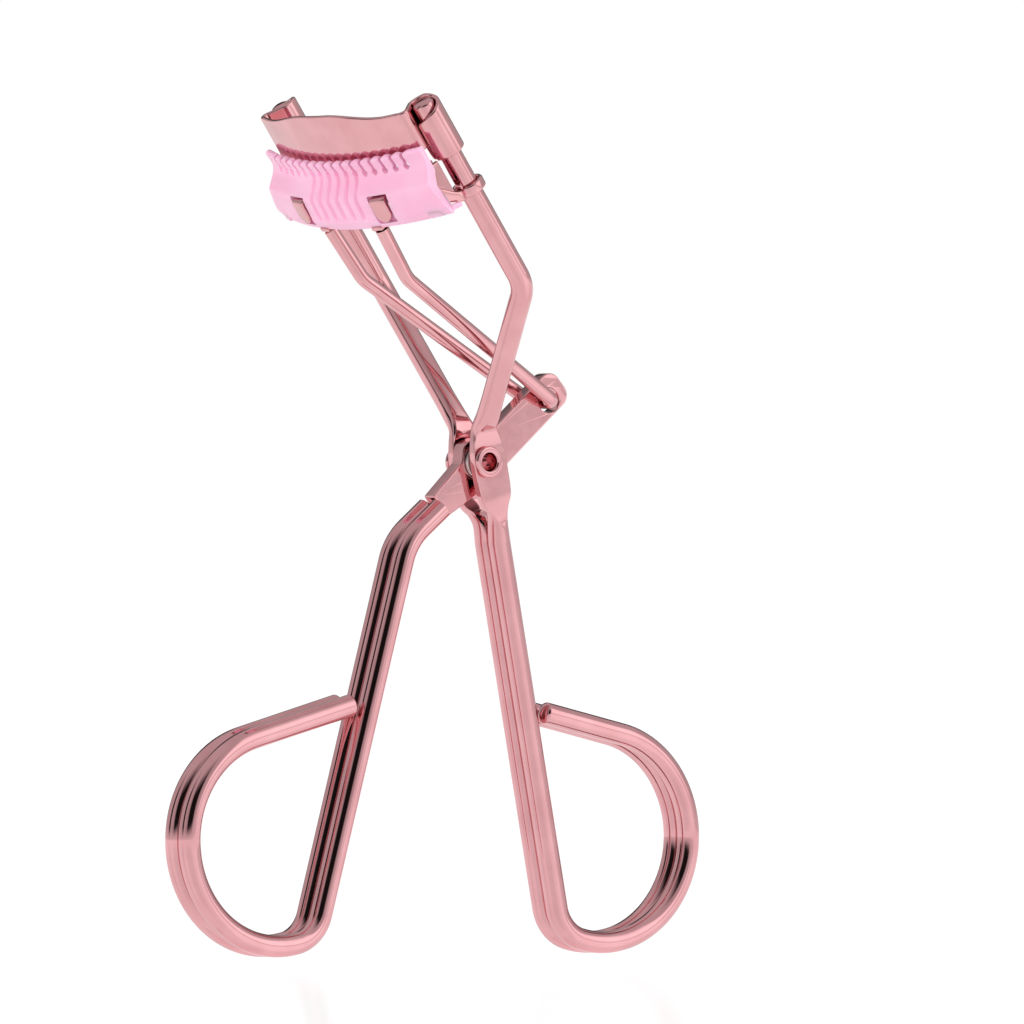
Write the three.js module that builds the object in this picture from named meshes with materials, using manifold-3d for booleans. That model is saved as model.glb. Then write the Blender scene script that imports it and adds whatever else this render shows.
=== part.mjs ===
// Eyelash curler with a clip-on lash comb, standing upright on its two finger loops.
//
// Millimetres, +Z up, +X towards the finger loop of the fixed handle, +Y away from the near side.
// Everything is laid out about the rivet that joins the handles, and the finished tool is then
// moved so that it stands on Z = 0 and is centred on the origin.
//
// Two round wires run side by side from each finger loop. The wires of the fixed handle are
// flattened into lugs at the rivet and carry on upwards as two posts, which hold the upper jaw
// and guide the lower jaw. The wires of the squeeze handle end at a stamped lever between the
// lugs, and a bent link wire in the lever's far hole pushes the lower jaw up the posts.

import * as THREE from 'three';
import { mergeVertices } from 'three/addons/utils/BufferGeometryUtils.js';
import Module from 'manifold-3d';

const wasm = await Module();
wasm.setup();

// ---------------------------------------------------------------- driving dimensions

const WIRE_RADIUS = 1.4;
const WIRE_OFFSET = 1.475; // each handle wire's distance from the middle plane
const SECTION_SIDES = 8;
const BEND_STEP = THREE.MathUtils.degToRad(17);

// Finger loops. Points are (x, z), measured outwards from the middle of the tool.
const RING_RADIUS = 13.2;
const RING_CORNER_RADIUS = 5;
const RING_HEIGHT = -47;
const LOOP_END_GAP = 1.5;
const FIXED_HANDLE = {
  side: 1, shaftTop: [2.1, -6.3], shaftLean: 10.85, ringCentre: 18.6, endSlope: 13,
};
const SQUEEZE_HANDLE = {
  side: -1, shaftTop: [11.15, -9.9], shaftLean: 15.7, ringCentre: 30.8, endSlope: 15.3,
};
const SQUEEZE_WIRE_TOP = [-6.1, -5.78];
const SQUEEZE_BEND_RADIUS = 8;

// Pivot stack, outwards from the middle plane: lever, washer, lug, rivet flange.
const LEVER_HALF = 1.1;
const WASHER_INNER_FACE = 1.2;
const WASHER_OUTER_FACE = 1.65;
const WASHER_RADIUS = 2.2;
const LUG_INNER_FACE = 1.75;
const LUG_OUTER_FACE = 2.9;
const FLANGE_INNER_FACE = 3.0;
const FLANGE_OUTER_FACE = 3.6;
const FLANGE_RADIUS = 2.0;
const BARREL_RADIUS = 1.3;
const RIVET_BORE_RADIUS = 1.0;
const PIVOT_HOLE_RADIUS = 1.42;
const LUG_TOP = 4.8;
const FLATTENED_FROM = -6.5;

// Posts and the frame that the jaws slide in: x across the tool, y forwards, z up the posts.
const POST_LEAN = THREE.MathUtils.degToRad(34.3);
const POST_HALF_SPACING = 15.5;
const SLEEVE_FOOT = new THREE.Vector3(-14.5, 0, 38.4);
const POST_ABOVE_FOOT = 7.6;
const POST_BELOW_FOOT = 20;
const POST_BEND_RADIUS = 4.5;
const POST_ROOT = { x: -0.05, y: 2.15, z: 3.75 };

// Upper jaw, a bent strip.
const JAW_RADIUS = 48;
const JAW_CREST = 5.8; // how far the strip's middle stands in front of the posts
const STRIP_THICKNESS = 0.6;
const STRIP_BOTTOM = 2.3;
const STRIP_TOP_MIDDLE = 9.7;
const STRIP_TOP_ENDS = 8.3;
const CORNER_HALF_WIDTH = 14.2; // where the curved face ends and the strip turns back
const SLEEVE_RADIUS = 1.82; // middle of the sheet wrapped round a post
const SLEEVE_TOP_FRONT = 5.5;
const SLEEVE_TOP_BACK = 7.8;

// Lower jaw, a curved tray that rides on two rings. Sections are [radius, height] corners.
const TRAY_HALF_WIDTH = 15.9;
const TRAY_WALL = 0.55;
const TRAY_BOTTOM = -4.5;
const TRAY_FLOOR = -3.9;
const TRAY_INNER_RADIUS = 45.25;
const TRAY_OUTER_RADIUS = 50.05;
const TRAY_INNER_TOP = -2.5;
const TRAY_OUTER_TOP = -2.1;
const END_WALL_TOP = 0.3;
const POST_RELIEF_RADIUS = 2.4;
const RING_INNER_RADIUS = 1.56;
const RING_OUTER_RADIUS = 2.1;
const RING_BOTTOM = -5.85;
const RING_TOP = -4.45;
const TAB_AT = 8.7;
const TAB_HALF_WIDTH = 1.35;
const TAB_OUTER_RADIUS = 52.35;
const TAB_BOTTOM = -4.1;
const TAB_TOP = -1.1;
const FOOT_HALF_WIDTH = 0.95;
const FOOT_BOTTOM = -5.75;

// Silicone pad.
const PAD_INNER_RADIUS = 45.95;
const PAD_OUTER_RADIUS = 49.35;
const PAD_HALF_WIDTH = 15.2;
const PAD_BOTTOM = -3.75;
const PAD_SHOULDER = -1.5;
const PAD_TOP = 0.5;

// Lash comb.
const COMB_HALF_WIDTH = 17;
const COMB_TOP = 3.5;
const COMB_BOTTOM = -4.95;
const COMB_SLITS = 16;
const SLIT_PITCH = 1.86;
const SLIT_WIDTH = 0.45;
const SLIT_DEPTH = 1.9;
const TONGUE_REACH = 3.4;

// Link wire.
const LINK_RADIUS = 0.9;
const LINK_HOLE = new THREE.Vector3(10.65, 0, 7.75);
const LINK_HOLE_RADIUS = 1.55;
const LINK_PLAY = 0.33; // the wire rests this far off the hole's middle, square to the posts
const LINK_HALF_WIDTH = 2.6;
const LINK_KNEE = new THREE.Vector3(-13.5, 4.85, 22.8);
const LINK_TOP = { across: 5.6, radius: 50.6, height: -5.9 };

// ---------------------------------------------------------------- materials

const metal = (color, roughness) => new THREE.MeshStandardMaterial({ color, roughness, metalness: 1 });
const plastic = (color, roughness) => new THREE.MeshStandardMaterial({ color, roughness, metalness: 0 });

const roseGold = () => metal(0xd99aa0, 0.16);
const washerSteel = () => metal(0xc8c2c0, 0.3);
const combPlastic = () => plastic(0xf9c0e0, 0.4);
const padSilicone = () => plastic(0xf487b1, 0.6);

// ---------------------------------------------------------------- geometry helpers

/** A wire's middle line through listed points; sections fall on the points themselves. */
class WirePath extends THREE.Curve {
  constructor(points) {
    super();
    this.points = points;
  }

  getPoint(t, target = new THREE.Vector3()) {
    return target.copy(this.points[Math.round(t * (this.points.length - 1))]);
  }

  getPointAt(u, target) {
    return this.getPoint(u, target);
  }

  getTangentAt(u, target = new THREE.Vector3()) {
    const last = this.points.length - 1;
    const index = Math.round(u * last);
    const before = this.points[Math.max(index - 1, 0)];
    const after = this.points[Math.min(index + 1, last)];
    const here = this.points[index];
    const arriving = here.clone().sub(before).normalize();
    const leaving = after.clone().sub(here).normalize();
    return target.copy(arriving).add(leaving).normalize();
  }
}

/** A polygon with its flats square to the axes, standing in for a round section. */
function wireSection(radius) {
  const shape = new THREE.Shape();
  for (let k = 0; k < SECTION_SIDES; k++) {
    const angle = (k + 0.5) * 2 * Math.PI / SECTION_SIDES;
    const [x, y] = [radius * Math.cos(angle), radius * Math.sin(angle)];
    if (k === 0) shape.moveTo(x, y);
    else shape.lineTo(x, y);
  }
  shape.closePath();
  return shape;
}

function wire(points, radius) {
  return new THREE.ExtrudeGeometry(wireSection(radius), {
    steps: points.length - 1, bevelEnabled: false, extrudePath: new WirePath(points),
  });
}

/** Points of an arc about a centre in a plane, both ends included. */
function arc([x, y], radius, from, to, step = BEND_STEP) {
  const count = Math.max(1, Math.ceil(Math.abs(to - from) / step));
  const points = [];
  for (let k = 0; k <= count; k++) {
    const angle = from + (to - from) * k / count;
    points.push([x + radius * Math.cos(angle), y + radius * Math.sin(angle)]);
  }
  return points;
}

/** The points of an arc that rounds the corner between two straight runs, in two or three axes. */
function roundedCorner(before, corner, after, radius, step = BEND_STEP) {
  const back = before.clone().sub(corner).normalize();
  const ahead = after.clone().sub(corner).normalize();
  const half = Math.acos(THREE.MathUtils.clamp(back.dot(ahead), -1, 1)) / 2;
  if (radius < 1e-6 || half > Math.PI / 2 - 1e-3) return [corner];
  const reach = radius / Math.tan(half);
  const middle = back.clone().add(ahead).normalize().multiplyScalar(radius / Math.sin(half)).add(corner);
  const start = back.clone().multiplyScalar(reach).add(corner).sub(middle);
  const turn = Math.PI - 2 * half;
  const count = Math.max(1, Math.ceil(turn / step));
  const points = [];
  for (let k = 0; k <= count; k++) {
    const angle = turn * k / count;
    const along = back.clone().multiplyScalar(-radius * Math.sin(angle));
    points.push(start.clone().multiplyScalar(Math.cos(angle)).add(along).add(middle));
  }
  return points;
}

/** A closed outline from corners [x, y, radius]. */
function roundedShape(corners) {
  const at = corners.map(([x, y]) => new THREE.Vector2(x, y));
  const points = corners.flatMap(([, , radius], k) => roundedCorner(
    at.at(k - 1), at[k], at[(k + 1) % at.length], radius,
  ));
  return new THREE.Shape(points);
}

/** A flat strip of the given thickness that follows a line of [x, y] points. */
function ribbon(points, thickness) {
  const line = points.map(([x, y]) => new THREE.Vector2(x, y));
  const edge = (side) => line.map((point, k) => {
    const before = line[Math.max(k - 1, 0)];
    const after = line[Math.min(k + 1, line.length - 1)];
    const arriving = point.clone().sub(before).normalize();
    const leaving = after.clone().sub(point).normalize();
    const along = arriving.clone().add(leaving).normalize();
    const square = new THREE.Vector2(-along.y, along.x);
    const straight = arriving.lengthSq() > 0 ? arriving : leaving;
    const mitre = 1 / Math.max(along.dot(straight), 0.5);
    return point.clone().addScaledVector(square, side * mitre * thickness / 2);
  });
  return new THREE.Shape([...edge(1), ...edge(-1).reverse()]);
}

/** A shape drawn in (x, y), as a solid between two heights. */
function slab(shape, bottom, top) {
  const geometry = new THREE.ExtrudeGeometry(shape, { depth: top - bottom, bevelEnabled: false });
  return geometry.translate(0, 0, bottom);
}

/** A shape drawn in (x, z), as a solid between two Y values. */
function plate(shape, yMin, yMax) {
  const geometry = new THREE.ExtrudeGeometry(shape, { depth: yMax - yMin, bevelEnabled: false });
  return geometry.rotateX(Math.PI / 2).translate(0, yMax, 0);
}

/** A shape drawn in (forwards, up), as a solid right across the jaw. */
function sidePrism(shape, halfWidth) {
  const geometry = new THREE.ExtrudeGeometry(shape, { depth: 2 * halfWidth, bevelEnabled: false });
  const turn = new THREE.Matrix4().makeBasis(
    new THREE.Vector3(0, 1, 0), new THREE.Vector3(0, 0, 1), new THREE.Vector3(1, 0, 0),
  );
  return geometry.applyMatrix4(turn).translate(-halfWidth, 0, 0);
}

function box(xMin, xMax, yMin, yMax, zMin, zMax) {
  return new THREE.BoxGeometry(xMax - xMin, yMax - yMin, zMax - zMin)
    .translate((xMin + xMax) / 2, (yMin + yMax) / 2, (zMin + zMax) / 2);
}

function toSolid(geometry) {
  const bare = geometry.clone();
  bare.deleteAttribute('normal');
  bare.deleteAttribute('uv');
  const welded = mergeVertices(bare, 1e-4);
  return new wasm.Manifold(new wasm.Mesh({
    numProp: 3,
    vertProperties: new Float32Array(welded.attributes.position.array),
    triVerts: new Uint32Array(welded.index.array),
  }));
}

function toGeometry(solid) {
  const mesh = solid.getMesh();
  const geometry = new THREE.BufferGeometry();
  geometry.setAttribute('position', new THREE.BufferAttribute(mesh.vertProperties, 3));
  geometry.setIndex(new THREE.BufferAttribute(mesh.triVerts, 1));
  geometry.computeVertexNormals();
  return geometry;
}

function join(...geometries) {
  return toGeometry(geometries.map(toSolid).reduce((whole, piece) => whole.add(piece)));
}

function cut(geometry, ...tools) {
  return toGeometry(tools.map(toSolid).reduce((rest, tool) => rest.subtract(tool), toSolid(geometry)));
}

function common(geometry, other) {
  return toGeometry(toSolid(geometry).intersect(toSolid(other)));
}

/** A pin along Y, used to drill the pivot and link holes. */
function crossPin(radius, halfLength, x = 0, z = 0) {
  return new THREE.CylinderGeometry(radius, radius, 2 * halfLength, 24).translate(x, 0, z);
}

function part(name, geometry, material) {
  const mesh = new THREE.Mesh(geometry, material);
  mesh.name = name;
  return mesh;
}

// ---------------------------------------------------------------- handles and frame

/** One handle's middle line from the free end of its finger loop up to the top of its shaft. */
function handleLine({ side, shaftTop, shaftLean, ringCentre, endSlope }) {
  const lean = THREE.MathUtils.degToRad(shaftLean);
  const slope = THREE.MathUtils.degToRad(endSlope);
  const top = new THREE.Vector2(...shaftTop);
  const down = new THREE.Vector2(Math.sin(lean), -Math.cos(lean));
  const out = new THREE.Vector2(Math.cos(lean), Math.sin(lean));
  const ring = new THREE.Vector2(ringCentre, RING_HEIGHT);

  const ringOffset = ring.clone().sub(top).dot(out);
  const cornerShift = ringOffset - RING_CORNER_RADIUS;
  const cornerDrop = Math.sqrt((RING_RADIUS - RING_CORNER_RADIUS) ** 2 - cornerShift ** 2);
  const corner = ring.clone().addScaledVector(out, -cornerShift).addScaledVector(down, cornerDrop);

  const joinAngle = corner.clone().sub(ring).angle() - 2 * Math.PI;
  const endAngle = Math.PI / 2 - slope;
  const shaftAngle = out.clone().negate().angle() - 2 * Math.PI;
  const leave = new THREE.Vector2(-Math.cos(slope), Math.sin(slope));
  const tangent = new THREE.Vector2(Math.cos(endAngle), Math.sin(endAngle))
    .multiplyScalar(RING_RADIUS).add(ring);
  const clear = tangent.clone().sub(top).dot(out) - WIRE_RADIUS - LOOP_END_GAP;
  const end = tangent.clone().addScaledVector(leave, -clear / leave.dot(out));

  return [
    [end.x, end.y],
    ...arc([ring.x, ring.y], RING_RADIUS, endAngle, joinAngle),
    ...arc([corner.x, corner.y], RING_CORNER_RADIUS, joinAngle, shaftAngle).slice(1),
    shaftTop,
  ].map(([x, z]) => [side * x, z]);
}

const inPlane = (points, y) => points.map(([x, z]) => new THREE.Vector3(x, y, z));

/** The flattened part of a fixed wire, seen square on. */
const lugOutline = () => roundedShape([
  [0.95, -6.9, 0.2], [2.75, -6.6, 0.6], [3.9, -4.6, 1.4], [3.0, 0.6, 2.4],
  [1.5, LUG_TOP, 0.5], [-1.8, LUG_TOP, 0.5], [-2.15, 1.2, 1.6], [-0.9, -4.2, 1.6],
]);

/** Points up a post in tool coordinates, from its root in the lug to its top. */
function postLine(side) {
  const up = new THREE.Vector3(-Math.sin(POST_LEAN), 0, Math.cos(POST_LEAN));
  const foot = SLEEVE_FOOT.clone().setY(side * POST_HALF_SPACING);
  const root = new THREE.Vector3(POST_ROOT.x, side * POST_ROOT.y, POST_ROOT.z);
  const bend = foot.clone().addScaledVector(up, -POST_BELOW_FOOT);
  const top = foot.clone().addScaledVector(up, POST_ABOVE_FOOT);
  return [root, ...roundedCorner(root, bend, top, POST_BEND_RADIUS), top];
}

function frameWire(side) {
  const [yNear, yFar] = side < 0 ? [-LUG_OUTER_FACE, -LUG_INNER_FACE] : [LUG_INNER_FACE, LUG_OUTER_FACE];
  const handle = wire(inPlane(handleLine(FIXED_HANDLE), side * WIRE_OFFSET), WIRE_RADIUS);
  const leverSpace = box(-8, 8, -LUG_INNER_FACE, LUG_INNER_FACE, FLATTENED_FROM, 9);
  const lug = plate(lugOutline(), yNear, yFar);
  const post = wire(postLine(side), WIRE_RADIUS);
  return cut(join(cut(handle, leverSpace), lug, cut(post, leverSpace)), crossPin(PIVOT_HOLE_RADIUS, 6));
}

function leverWire(side) {
  const line = inPlane(handleLine(SQUEEZE_HANDLE), side * WIRE_OFFSET);
  const bend = line.pop();
  const top = new THREE.Vector3(SQUEEZE_WIRE_TOP[0], side * WIRE_OFFSET, SQUEEZE_WIRE_TOP[1]);
  line.push(...roundedCorner(line.at(-1), bend, top, SQUEEZE_BEND_RADIUS), top);
  return wire(line, WIRE_RADIUS);
}

function leverPlate() {
  const outline = roundedShape([
    [-6.95, -4.3, 0.3], [-2.6, -0.05, 0.8], [-2.35, 2.3, 1.4], [-0.2, 3.05, 1.5], [1.0, 3.0, 1.5],
    [11.04, 11.84, 1.7], [14.17, 8.24, 1.6], [0.57, -3.57, 3.0], [-4.75, -6.85, 0.3],
  ]);
  return cut(
    plate(outline, -LEVER_HALF, LEVER_HALF),
    crossPin(PIVOT_HOLE_RADIUS, 3),
    crossPin(LINK_HOLE_RADIUS, 3, LINK_HOLE.x, LINK_HOLE.z),
  );
}

/** A hollow rivet with a rolled flange at each end, turned about Y. */
function rivet() {
  const outline = [
    [RIVET_BORE_RADIUS, -FLANGE_OUTER_FACE + 0.15], [RIVET_BORE_RADIUS + 0.2, -FLANGE_OUTER_FACE],
    [FLANGE_RADIUS - 0.25, -FLANGE_OUTER_FACE], [FLANGE_RADIUS, -FLANGE_OUTER_FACE + 0.25],
    [FLANGE_RADIUS, -FLANGE_INNER_FACE], [BARREL_RADIUS, -FLANGE_INNER_FACE],
  ];
  const mirrored = outline.map(([r, y]) => [r, -y]).reverse();
  const profile = [...outline, ...mirrored, outline[0]].map(([r, y]) => new THREE.Vector2(r, y));
  return new THREE.LatheGeometry(profile, 24);
}

function washer(side) {
  const ring = new THREE.Shape().absarc(0, 0, WASHER_RADIUS, 0, 2 * Math.PI);
  ring.holes.push(new THREE.Path().absarc(0, 0, PIVOT_HOLE_RADIUS, 0, 2 * Math.PI));
  const faces = [side * WASHER_INNER_FACE, side * WASHER_OUTER_FACE].sort((a, b) => a - b);
  return plate(ring, ...faces);
}

// ---------------------------------------------------------------- jaws, in the jaw frame

const jawCentre = [0, JAW_CREST - JAW_RADIUS];

/** An arc of the jaw's curve between two half-widths, as [x, y] points. */
function jawArc(radius, halfWidth, step = THREE.MathUtils.degToRad(3)) {
  const reach = Math.asin(halfWidth / radius);
  return arc(jawCentre, radius, Math.PI / 2 - reach, Math.PI / 2 + reach, step);
}

/** A section of [radius, height] corners, listed clockwise, swept along the jaw's curve. */
function curvedBar(section, halfWidth) {
  const profile = [...section, section[0]].reverse().map(([r, z]) => new THREE.Vector2(r, z));
  const ring = new THREE.LatheGeometry(profile, 120).rotateX(Math.PI / 2);
  ring.translate(jawCentre[0], jawCentre[1], 0);
  return common(ring, box(-halfWidth, halfWidth, -2, 12, -10, 10));
}

const postCylinders = (radius, bottom, top) => [-1, 1].map((side) => (
  new THREE.CylinderGeometry(radius, radius, top - bottom, 20)
    .rotateX(Math.PI / 2)
    .translate(side * POST_HALF_SPACING, 0, (top + bottom) / 2)
));

/** One end of the strip: back from the curved face and round the post, on the +X side. */
function stripEnd() {
  const post = [POST_HALF_SPACING, 0];
  const corner = new THREE.Vector2(POST_HALF_SPACING + 0.35, 3.2);
  const arrive = new THREE.Vector2(...jawArc(JAW_RADIUS, CORNER_HALF_WIDTH)[0]);
  const joinAngle = THREE.MathUtils.degToRad(158);
  const leave = new THREE.Vector2(
    post[0] + SLEEVE_RADIUS * Math.cos(joinAngle), SLEEVE_RADIUS * Math.sin(joinAngle),
  );
  const turn = roundedCorner(arrive, corner, leave, 0.75, 0.5).map((point) => [point.x, point.y]);
  const wrap = arc(post, SLEEVE_RADIUS, joinAngle, joinAngle + THREE.MathUtils.degToRad(290), 0.35);
  return [...turn, ...wrap];
}

function upperJaw() {
  const right = stripEnd();
  const left = right.map(([x, y]) => [-x, y]).reverse();
  const middle = jawArc(JAW_RADIUS, CORNER_HALF_WIDTH).reverse();
  const strip = slab(ribbon([...left, ...middle, ...right], STRIP_THICKNESS), -1, 12);
  const sides = roundedShape([
    [-4, 0, 0], [2.15, 0, 0], [2.4, STRIP_BOTTOM, 0], [9, STRIP_BOTTOM, 0],
    [9, STRIP_TOP_MIDDLE + 1, 0], [JAW_CREST, STRIP_TOP_MIDDLE, 0], [3.2, STRIP_TOP_ENDS, 0],
    [2.3, SLEEVE_TOP_FRONT + 0.6, 0], [2.1, SLEEVE_TOP_FRONT, 0], [-4, SLEEVE_TOP_BACK + 1, 0],
  ]);
  return common(strip, sidePrism(sides, 20));
}

/** The domed wall at one end of the tray, and the arm that runs down from it to a ring. */
function trayEnd(side) {
  const dome = roundedShape([
    [0.2, TRAY_BOTTOM, 0], [4.9, TRAY_BOTTOM, 0], [4.9, -2.2, 0.3], [3.75, END_WALL_TOP, 1.1],
    [1.5, END_WALL_TOP, 1.1], [0.2, -2.0, 0],
  ]);
  const wall = sidePrism(dome, TRAY_WALL / 2).translate(side * (TRAY_HALF_WIDTH - TRAY_WALL / 2), 0, 0);
  const armLine = [[14.9, 5.4], [15.7, 5.0], [16.3, 4.0], [16.4, 2.8], [16.1, 1.9]];
  const armSide = roundedShape([
    [1.5, RING_BOTTOM, 0], [2.6, RING_BOTTOM, 0], [4.6, TRAY_BOTTOM, 0], [6, TRAY_BOTTOM, 0],
    [6, TRAY_OUTER_TOP, 0], [3.8, -2.4, 0], [2.3, -3.9, 0], [1.5, RING_TOP, 0],
  ]);
  const arm = common(
    slab(ribbon(armLine.map(([x, y]) => [side * x, y]), 0.6), RING_BOTTOM, TRAY_OUTER_TOP),
    sidePrism(armSide, 20),
  );
  return [cut(wall, ...postCylinders(POST_RELIEF_RADIUS, -7, 4)), arm];
}

function rings() {
  return [-1, 1].map((side) => {
    const ring = new THREE.Shape().absarc(side * POST_HALF_SPACING, 0, RING_OUTER_RADIUS, 0, 2 * Math.PI);
    const hole = new THREE.Path().absarc(side * POST_HALF_SPACING, 0, RING_INNER_RADIUS, 0, 2 * Math.PI);
    ring.holes.push(hole);
    return new THREE.ExtrudeGeometry(ring, {
      depth: RING_TOP - RING_BOTTOM, bevelEnabled: false, curveSegments: 10,
    }).translate(0, 0, RING_BOTTOM);
  });
}

/** A block that straddles the curve at a given place across the jaw. */
function radialBlock(across, halfWidth, innerRadius, outerRadius, bottom, top) {
  const angle = Math.asin(across / ((innerRadius + outerRadius) / 2));
  return box(-halfWidth, halfWidth, innerRadius, outerRadius, bottom, top)
    .rotateZ(-angle)
    .translate(jawCentre[0], jawCentre[1], 0);
}

/** A tongue off the tray's outer wall, out through the comb and down over its face. */
function tab(side) {
  const across = side * TAB_AT;
  const root = radialBlock(across, TAB_HALF_WIDTH, TRAY_OUTER_RADIUS - TRAY_WALL, TRAY_OUTER_RADIUS,
    TRAY_OUTER_TOP - 0.5, TAB_TOP);
  const bridge = radialBlock(across, TAB_HALF_WIDTH, TRAY_OUTER_RADIUS - TRAY_WALL, TAB_OUTER_RADIUS,
    TAB_TOP - TRAY_WALL, TAB_TOP);
  const flap = radialBlock(across, TAB_HALF_WIDTH, TAB_OUTER_RADIUS - TRAY_WALL, TAB_OUTER_RADIUS,
    TAB_BOTTOM, TAB_TOP);
  return [root, bridge, flap];
}

/** A stepped foot under the tray, reaching out below the comb, that carries one leg of the link. */
function linkFoot(side) {
  const across = side * LINK_TOP.across;
  const heel = radialBlock(across, FOOT_HALF_WIDTH, 47.6, TRAY_OUTER_RADIUS, FOOT_BOTTOM, TRAY_FLOOR);
  const toe = radialBlock(across, FOOT_HALF_WIDTH, 49, 51.45, FOOT_BOTTOM, FOOT_BOTTOM + 0.6);
  return [heel, toe];
}

function lowerJaw() {
  const trough = curvedBar([
    [TRAY_INNER_RADIUS, TRAY_BOTTOM], [TRAY_INNER_RADIUS, TRAY_INNER_TOP],
    [TRAY_INNER_RADIUS + TRAY_WALL, TRAY_INNER_TOP], [TRAY_INNER_RADIUS + TRAY_WALL, TRAY_FLOOR],
    [TRAY_OUTER_RADIUS - TRAY_WALL, TRAY_FLOOR], [TRAY_OUTER_RADIUS - TRAY_WALL, TRAY_OUTER_TOP],
    [TRAY_OUTER_RADIUS, TRAY_OUTER_TOP], [TRAY_OUTER_RADIUS, TRAY_BOTTOM],
  ], TRAY_HALF_WIDTH);
  const tray = cut(trough, ...postCylinders(POST_RELIEF_RADIUS, -7, 4));
  const sides = [-1, 1].flatMap((side) => [...trayEnd(side), ...tab(side), ...linkFoot(side)]);
  return join(tray, ...sides, ...rings());
}

function siliconePad() {
  const crown = (PAD_INNER_RADIUS + PAD_OUTER_RADIUS) / 2;
  const strip = curvedBar([
    [PAD_INNER_RADIUS, PAD_BOTTOM], [PAD_INNER_RADIUS, PAD_SHOULDER], [crown - 0.75, PAD_TOP - 0.3],
    [crown, PAD_TOP], [crown + 0.75, PAD_TOP - 0.3], [PAD_OUTER_RADIUS, PAD_SHOULDER],
    [PAD_OUTER_RADIUS, PAD_BOTTOM],
  ], PAD_HALF_WIDTH);
  return cut(strip, ...postCylinders(POST_RELIEF_RADIUS + 0.15, PAD_BOTTOM - 1, PAD_TOP + 1));
}

/** The comb's section, as [radius, height] about the jaw's centre, clockwise. */
const combSection = [
  [48.75, COMB_TOP - 0.2], [48.95, COMB_TOP], [49.35, COMB_TOP], [49.6, COMB_TOP - 0.25],
  [49.55, 1.0], [51.4, -0.9], [51.5, -3.9], [51.2, COMB_BOTTOM], [50.35, COMB_BOTTOM],
  [50.35, -1.75], [48.75, -0.1],
];

function lashComb() {
  const arcPiece = curvedBar(combSection, COMB_HALF_WIDTH);

  const tongues = [-1, 1].map((side) => {
    const tongue = new THREE.Shape([
      [16.0, 6.9], [16.9, 6.7], [17.45, 6.0], [17.45, 6.3 - TONGUE_REACH], [17.0, 6.3 - TONGUE_REACH],
      [16.75, 5.6], [16.3, 6.0],
    ].map(([x, y]) => new THREE.Vector2(side * x, y)));
    return slab(tongue, COMB_BOTTOM, COMB_BOTTOM + 1.1);
  });

  const slits = [];
  for (let k = 0; k < COMB_SLITS; k++) {
    const across = (k - (COMB_SLITS - 1) / 2) * SLIT_PITCH;
    slits.push(radialBlock(across, SLIT_WIDTH / 2, 47, 51, COMB_TOP - SLIT_DEPTH, COMB_TOP + 1));
  }
  const tabWindows = [-1, 1].map((side) => (
    radialBlock(side * TAB_AT, TAB_HALF_WIDTH + 0.25, 49, 53, TAB_BOTTOM - 0.25, TAB_TOP + 0.25)
  ));
  return cut(join(arcPiece, ...tongues), ...slits, ...tabWindows);
}

// ---------------------------------------------------------------- link wire

function linkWire(jawFrame) {
  const topLine = (side) => {
    const angle = Math.asin(LINK_TOP.across / LINK_TOP.radius);
    const top = new THREE.Vector3(
      side * LINK_TOP.across, jawCentre[1] + LINK_TOP.radius * Math.cos(angle), LINK_TOP.height,
    );
    return jawFrame.localToWorld(top);
  };
  const squareToPosts = new THREE.Vector3(-Math.cos(POST_LEAN), 0, -Math.sin(POST_LEAN));
  const heel = LINK_HOLE.clone().addScaledVector(squareToPosts, LINK_PLAY);
  const [nearHeel, farHeel] = [-1, 1].map((side) => heel.clone().setY(side * LINK_HALF_WIDTH));
  const [nearKnee, farKnee] = [-1, 1].map((side) => LINK_KNEE.clone().setY(side * LINK_KNEE.y));
  const [nearTop, farTop] = [-1, 1].map(topLine);
  return wire([
    nearTop,
    ...roundedCorner(nearTop, nearKnee, nearHeel, 4),
    ...roundedCorner(nearKnee, nearHeel, farHeel, 1.3, 0.5),
    ...roundedCorner(nearHeel, farHeel, farKnee, 1.3, 0.5),
    ...roundedCorner(farHeel, farKnee, farTop, 4),
    farTop,
  ], LINK_RADIUS);
}

// ---------------------------------------------------------------- assembly

const tool = new THREE.Group();

const jawFrame = new THREE.Group();
jawFrame.position.copy(SLEEVE_FOOT);
jawFrame.quaternion.setFromRotationMatrix(new THREE.Matrix4().makeBasis(
  new THREE.Vector3(0, 1, 0),
  new THREE.Vector3(-Math.cos(POST_LEAN), 0, -Math.sin(POST_LEAN)),
  new THREE.Vector3(-Math.sin(POST_LEAN), 0, Math.cos(POST_LEAN)),
));
tool.add(jawFrame);
tool.updateMatrixWorld(true);

jawFrame.add(
  part('upper_jaw', upperJaw(), roseGold()),
  part('lower_jaw', lowerJaw(), roseGold()),
  part('silicone_pad', siliconePad(), padSilicone()),
  part('lash_comb', lashComb(), combPlastic()),
);

tool.add(
  part('link_wire', linkWire(jawFrame), roseGold()),
  part('frame_wire_near', frameWire(-1), roseGold()),
  part('frame_wire_far', frameWire(1), roseGold()),
  part('lever_plate', leverPlate(), roseGold()),
  part('lever_wire_near', leverWire(-1), roseGold()),
  part('lever_wire_far', leverWire(1), roseGold()),
  part('pivot_rivet', rivet(), roseGold()),
  part('washer_near', washer(-1), washerSteel()),
  part('washer_far', washer(1), washerSteel()),
);

const extent = new THREE.Box3().setFromObject(tool, true);
tool.position.set(
  -(extent.min.x + extent.max.x) / 2, -(extent.min.y + extent.max.y) / 2, -extent.min.z,
);

export default tool;
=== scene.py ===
"""Looks of the eyelash curler: smooth polished wires, jaws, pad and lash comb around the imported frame."""
import math

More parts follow.
